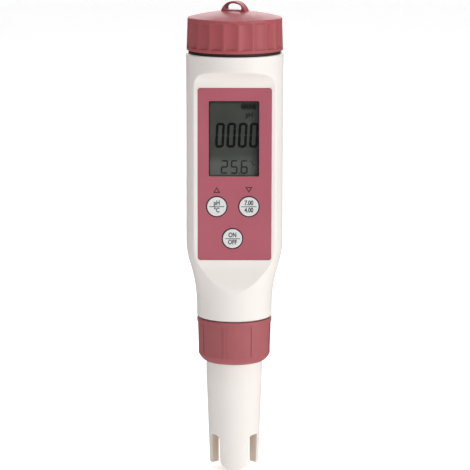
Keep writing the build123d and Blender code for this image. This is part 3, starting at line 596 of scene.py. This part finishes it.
for node, look in keys.items():
    x, y, z = keyMiddle(node)
    plain = node.split("_")[0]
    makeKeyRing(plain + "KeyRing", x, z, keyLook)
    makeKeyLine(plain + "KeyLine", x, y, z, look["body"], keyLook)
    for place, sign in (("upper", 1), ("lower", -1)):
        addText(plain + "Key" + place.capitalize(), look[place], keyLook["textSize"], x, y,
                z + sign * keyLook["textRise"], "legendInk", look["body"],
                keyLook["inkThickness"], keyLook["textStretch"], keyLook["textWeight"])
print("keys marked")


# outline arrows printed on the overlay above the two upper keys

arrows = {"rise": 6.55, "width": 2.8, "height": 2.3, "stroke": 0.36, "thickness": 0.02}


def makeArrow(name, key, way, look):
    x, _, z = keyMiddle(key)
    half, tall = look["width"] / 2, look["height"]
    inside = half * tall / (half + math.hypot(half, tall))  # radius of the circle that fits inside
    outer = [(-half, -inside), (half, -inside), (0, tall - inside)]
    shrink = (inside - look["stroke"]) / inside
    middle = z + look["rise"] - way * (tall / 2 - inside)
    bm = bmesh.new()
    addRing(bm, [(x + px, middle + way * pz) for px, pz in outer],
            [(x + px * shrink, middle + way * pz * shrink) for px, pz in outer])
    faceFront(bm, overlayLow.y, look["thickness"])
    addPiece(name, bm, "arrowInk", "case")


makeArrow("upArrow", "hold_button", 1, arrows)
makeArrow("downArrow", "mode_button", -1, arrows)
print("arrows printed")


# screw threads, a raised helix round each neck

threads = {
    "top": {"above": "cap_seal", "rise": 0.9, "radius": 16.6, "turns": 2.6, "pitch": 2.4},
    "low": {"above": "probe_seal", "rise": 0.75, "radius": 12.95, "turns": 2.3, "pitch": 2.4},
}
threadShape = {"height": 0.19, "sunk": 0.05, "foot": 1.1, "crest": 0.5, "steps": 64}


def makeThread(name, look, shape):
    bm = bmesh.new()
    section = [(-shape["sunk"], -shape["foot"] / 2), (shape["height"], -shape["crest"] / 2),
               (shape["height"], shape["crest"] / 2), (-shape["sunk"], shape["foot"] / 2)]
    start = boxMm(look["above"])[1].z + look["rise"]
    verts = [bm.verts.new((look["radius"] + out, 0, start + along)) for out, along in section]
    loop = [bm.edges.new((verts[i - 1], verts[i])) for i in range(len(verts))]
    steps = int(look["turns"] * shape["steps"])
    bmesh.ops.spin(bm, geom=verts + loop, cent=(0, 0, 0), axis=(0, 0, 1), steps=steps, use_merge=False,
                   dvec=(0, 0, look["pitch"] / shape["steps"]), angle=math.tau * look["turns"])
    bmesh.ops.holes_fill(bm, edges=bm.edges, sides=4)
    bmesh.ops.recalc_face_normals(bm, faces=bm.faces)
    addPiece(name, bm, "caseWhite", "case")


makeThread("topNeckThread", threads["top"], threadShape)
makeThread("lowNeckThread", threads["low"], threadShape)
print("threads wound")


# studio: a pale sweep for a floor, one big soft light on the right and weaker ones elsewhere

studio = {
    "sweepWidth": 6.0, "front": -2.5, "back": 2.2, "height": 4.0, "bend": 1.0, "bendSteps": 16,
    "below": 0.0002, "floorColour": (0.86, 0.86, 0.86), "floorGlow": 0.5,
    "worldColour": (1.0, 1.0, 1.0), "worldStrength": 0.16,
}
lamps = {
    "keyLight": {"place": (1.9, -1.3, 0.8), "size": (1.3, 1.8), "power": 30.0},
    "frontLight": {"place": (0.2, -2.2, 0.9), "size": (1.2, 1.2), "power": 5.0},
    "topLight": {"place": (0.1, -0.1, 1.9), "size": (1.4, 1.4), "power": 20.0},
    "backLight": {"place": (0.0, 1.3, 0.6), "size": (1.2, 0.5), "power": 6.0},
    "leftLight": {"place": (-1.9, -0.7, 0.5), "size": (0.7, 1.4), "power": 1.0},
}


def floorMaterial(look):
    made, tree, shader, coords = newMaterial("paleFloor")
    speck = noiseNode(tree, coords, 4, 2)
    pale = mixNode(tree, rangeNode(tree, speck, 0, 1), shade(look["floorColour"], 0.995), look["floorColour"])
    tree.links.new(pale, shader.inputs["Base Color"])
    shader.inputs["Roughness"].default_value = 0.9
    shader.inputs["Emission Color"].default_value = (1, 1, 1, 1)
    shader.inputs["Emission Strength"].default_value = look["floorGlow"]
    return made


def makeSweep(look):
    bm = bmesh.new()
    half = look["sweepWidth"] / 2
    line = [(look["front"], 0)]
    for step in range(look["bendSteps"] + 1):
        turn = math.radians(90) * step / look["bendSteps"]
        line.append((look["back"] + look["bend"] * math.sin(turn), look["bend"] * (1 - math.cos(turn))))
    line.append((look["back"] + look["bend"], look["height"]))
    verts = [bm.verts.new((-half, y, z - look["below"])) for y, z in line]
    edges = [bm.edges.new(pair) for pair in zip(verts, verts[1:])]
    grown = bmesh.ops.extrude_edge_only(bm, edges=edges)
    far = [item for item in grown["geom"] if isinstance(item, bmesh.types.BMVert)]
    bmesh.ops.translate(bm, vec=(look["sweepWidth"], 0, 0), verts=far)
    bmesh.ops.recalc_face_normals(bm, faces=bm.faces)
    mesh = bpy.data.meshes.new("sweep")
    bm.to_mesh(mesh)
    bm.free()
    mesh.shade_smooth()
    mesh.materials.append(floorMaterial(look))
    floor = bpy.data.objects.new("sweep", mesh)
    bpy.context.scene.collection.objects.link(floor)
    floor.visible_glossy = False


def makeLamp(name, look):
    data = bpy.data.lights.new(name, "AREA")
    data.shape = "RECTANGLE"
    data.size, data.size_y = look["size"]
    data.energy = look["power"]
    lamp = bpy.data.objects.new(name, data)
    bpy.context.scene.collection.objects.link(lamp)
    lamp.location = look["place"]
    aim = Vector((0, 0, 0.1)) - Vector(look["place"])
    lamp.rotation_euler = aim.to_track_quat("-Z", "Y").to_euler()


makeSweep(studio)
for lampName, lampLook in lamps.items():
    makeLamp(lampName, lampLook)
world = bpy.data.worlds.new("studioAir")
world.use_nodes = True
world.node_tree.nodes["Background"].inputs["Color"].default_value = (*studio["worldColour"], 1)
world.node_tree.nodes["Background"].inputs["Strength"].default_value = studio["worldStrength"]
bpy.context.scene.world = world
print("studio lit")
